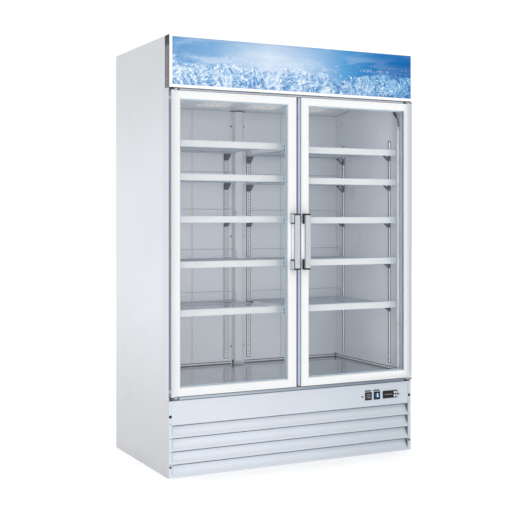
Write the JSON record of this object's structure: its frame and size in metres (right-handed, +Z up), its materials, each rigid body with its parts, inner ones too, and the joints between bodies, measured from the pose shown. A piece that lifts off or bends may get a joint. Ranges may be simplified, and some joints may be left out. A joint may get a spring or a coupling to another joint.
{
  "type": "glass door merchandiser",
  "caption": "Upright refrigerated display cabinet with hinged double-pane glass doors, adjustable wire shelves, a lit header sign and a louvered machine compartment.",
  "frame": {"origin": "on the floor, under the centre of the whole cabinet's bounding box with its handles", "axes": "+Z up, +X to the right of a person facing the doors, the doors face -Y"},
  "size_m": [1.3524, 0.795, 2.046],
  "materials": {
    "white_steel": "satin",
    "trim_blue_white": "satin",
    "back_steel": "satin",
    "galvanised": "matte",
    "foam": "matte",
    "jamb_grey": "satin",
    "sign_white": "gloss",
    "sign_print": "gloss",
    "cap_grey": "satin",
    "dark_metal": "satin",
    "nylon": "satin",
    "black_plastic": "satin",
    "black_gloss": "gloss",
    "screw_steel": "satin",
    "liner_white": "satin",
    "stainless": "polished",
    "pilaster_grey": "satin",
    "bracket_grey": "satin",
    "led_lens": "satin",
    "lead_rubber": "matte",
    "coil_aluminium": "satin",
    "compressor_black": "gloss",
    "copper": "satin",
    "fan_plastic": "satin",
    "shelf_white": "gloss",
    "door_white": "gloss",
    "door_glass": "gloss",
    "spacer_aluminium": "satin",
    "gasket_grey": "matte",
    "handle_silver": "satin",
    "button_grey": "satin"
  },
  "bodies": {
    "cabinet": {"base_tray": "galvanised", "black_plugs": "black_plastic", "ceiling_panel": "liner_white", "centre_column": "liner_white", "compressor": "compressor_black", "condenser": "coil_aluminium", "controller_body": "black_gloss", "cord_gland": "black_plastic", "corner_trims": "trim_blue_white", "evaporator_coil": "coil_aluminium", "fan_motors": "dark_metal", "floor_pan": "stainless", "floor_trims": "stainless", "hinge_brackets": "dark_metal", "hinge_washers": "nylon", "insulation": "foam", "jamb_frame": "jamb_grey", "kick_panel": "white_steel", "lamp_fittings": "nylon", "lamp_leads": "lead_rubber", "lamp_tubes": "led_lens", "liner_walls": "liner_white", "mullion": "jamb_grey", "pilasters": "pilaster_grey", "rear_panel": "back_steel", "refrigerant_pipes": "copper", "roof_panel": "white_steel", "shelf_brackets": "bracket_grey", "shelves_level_1": "shelf_white", "shelves_level_2": "shelf_white", "shelves_level_3": "shelf_white", "shelves_level_4": "shelf_white", "shelves_level_5": "shelf_white", "side_panel_left": "white_steel", "side_panel_right": "white_steel", "sign_end_caps": "cap_grey", "sign_frame": "sign_white", "sign_graphic": "sign_print", "steel_screws": "screw_steel", "switch_housings": "black_plastic"},
    "door_left": {"door_frame_left": "door_white", "door_glass_left": "door_glass", "glass_spacer_left": "spacer_aluminium", "door_gasket_left": "gasket_grey", "handle_left": "handle_silver"},
    "evaporator_fan_left": {"evaporator_fan_left": "fan_plastic"},
    "door_right": {"door_frame_right": "door_white", "door_glass_right": "door_glass", "glass_spacer_right": "spacer_aluminium", "door_gasket_right": "gasket_grey", "handle_right": "handle_silver"},
    "evaporator_fan_right": {"evaporator_fan_right": "fan_plastic"},
    "rocker_power": {"rocker_power": "black_gloss"},
    "rocker_light": {"rocker_light": "black_gloss"},
    "button_1": {"controller_button_1": "button_grey"},
    "button_2": {"controller_button_2": "button_grey"},
    "button_3": {"controller_button_3": "button_grey"},
    "button_4": {"controller_button_4": "button_grey"},
    "condenser_fan": {"condenser_fan": "fan_plastic"}
  },
  "joints": [
    {"name": "door_left_hinge", "type": "hinge", "parent": "cabinet", "child": "door_left", "pos_m": [-0.657, -0.3495, 1.083], "axis": [0, 0, -1], "range_deg": [0, 110], "stiffness_Nm_per_rad": 1.5, "springref_deg": -17.19},
    {"name": "door_right_hinge", "type": "hinge", "parent": "cabinet", "child": "door_right", "pos_m": [0.657, -0.3495, 1.083], "axis": [0, 0, 1], "range_deg": [0, 110], "stiffness_Nm_per_rad": 1.5, "springref_deg": -17.19},
    {"name": "rocker_power_tilt", "type": "hinge", "parent": "cabinet", "child": "rocker_power", "pos_m": [0.4145, -0.337, 0.296], "axis": [1, 0, 0], "range_deg": [0, 16]},
    {"name": "rocker_light_tilt", "type": "hinge", "parent": "cabinet", "child": "rocker_light", "pos_m": [0.4655, -0.337, 0.296], "axis": [1, 0, 0], "range_deg": [0, 16]},
    {"name": "button_1_press", "type": "slide", "parent": "cabinet", "child": "button_1", "axis": [0, 1, 0], "range_m": [0, 0.001], "stiffness_N_per_m": 300, "springref_m": -0.0005},
    {"name": "button_2_press", "type": "slide", "parent": "cabinet", "child": "button_2", "axis": [0, 1, 0], "range_m": [0, 0.001], "stiffness_N_per_m": 300, "springref_m": -0.0005},
    {"name": "button_3_press", "type": "slide", "parent": "cabinet", "child": "button_3", "axis": [0, 1, 0], "range_m": [0, 0.001], "stiffness_N_per_m": 300, "springref_m": -0.0005},
    {"name": "button_4_press", "type": "slide", "parent": "cabinet", "child": "button_4", "axis": [0, 1, 0], "range_m": [0, 0.001], "stiffness_N_per_m": 300, "springref_m": -0.0005},
    {"name": "evaporator_fan_left_spin", "type": "hinge", "parent": "cabinet", "child": "evaporator_fan_left", "pos_m": [-0.15, 0.225, 1.905], "axis": [0, 1, 0], "continuous": true},
    {"name": "evaporator_fan_right_spin", "type": "hinge", "parent": "cabinet", "child": "evaporator_fan_right", "pos_m": [0.15, 0.225, 1.905], "axis": [0, 1, 0], "continuous": true},
    {"name": "condenser_fan_spin", "type": "hinge", "parent": "cabinet", "child": "condenser_fan", "pos_m": [-0.2, -0.13, 0.15], "axis": [0, 1, 0], "continuous": true}
  ]
}
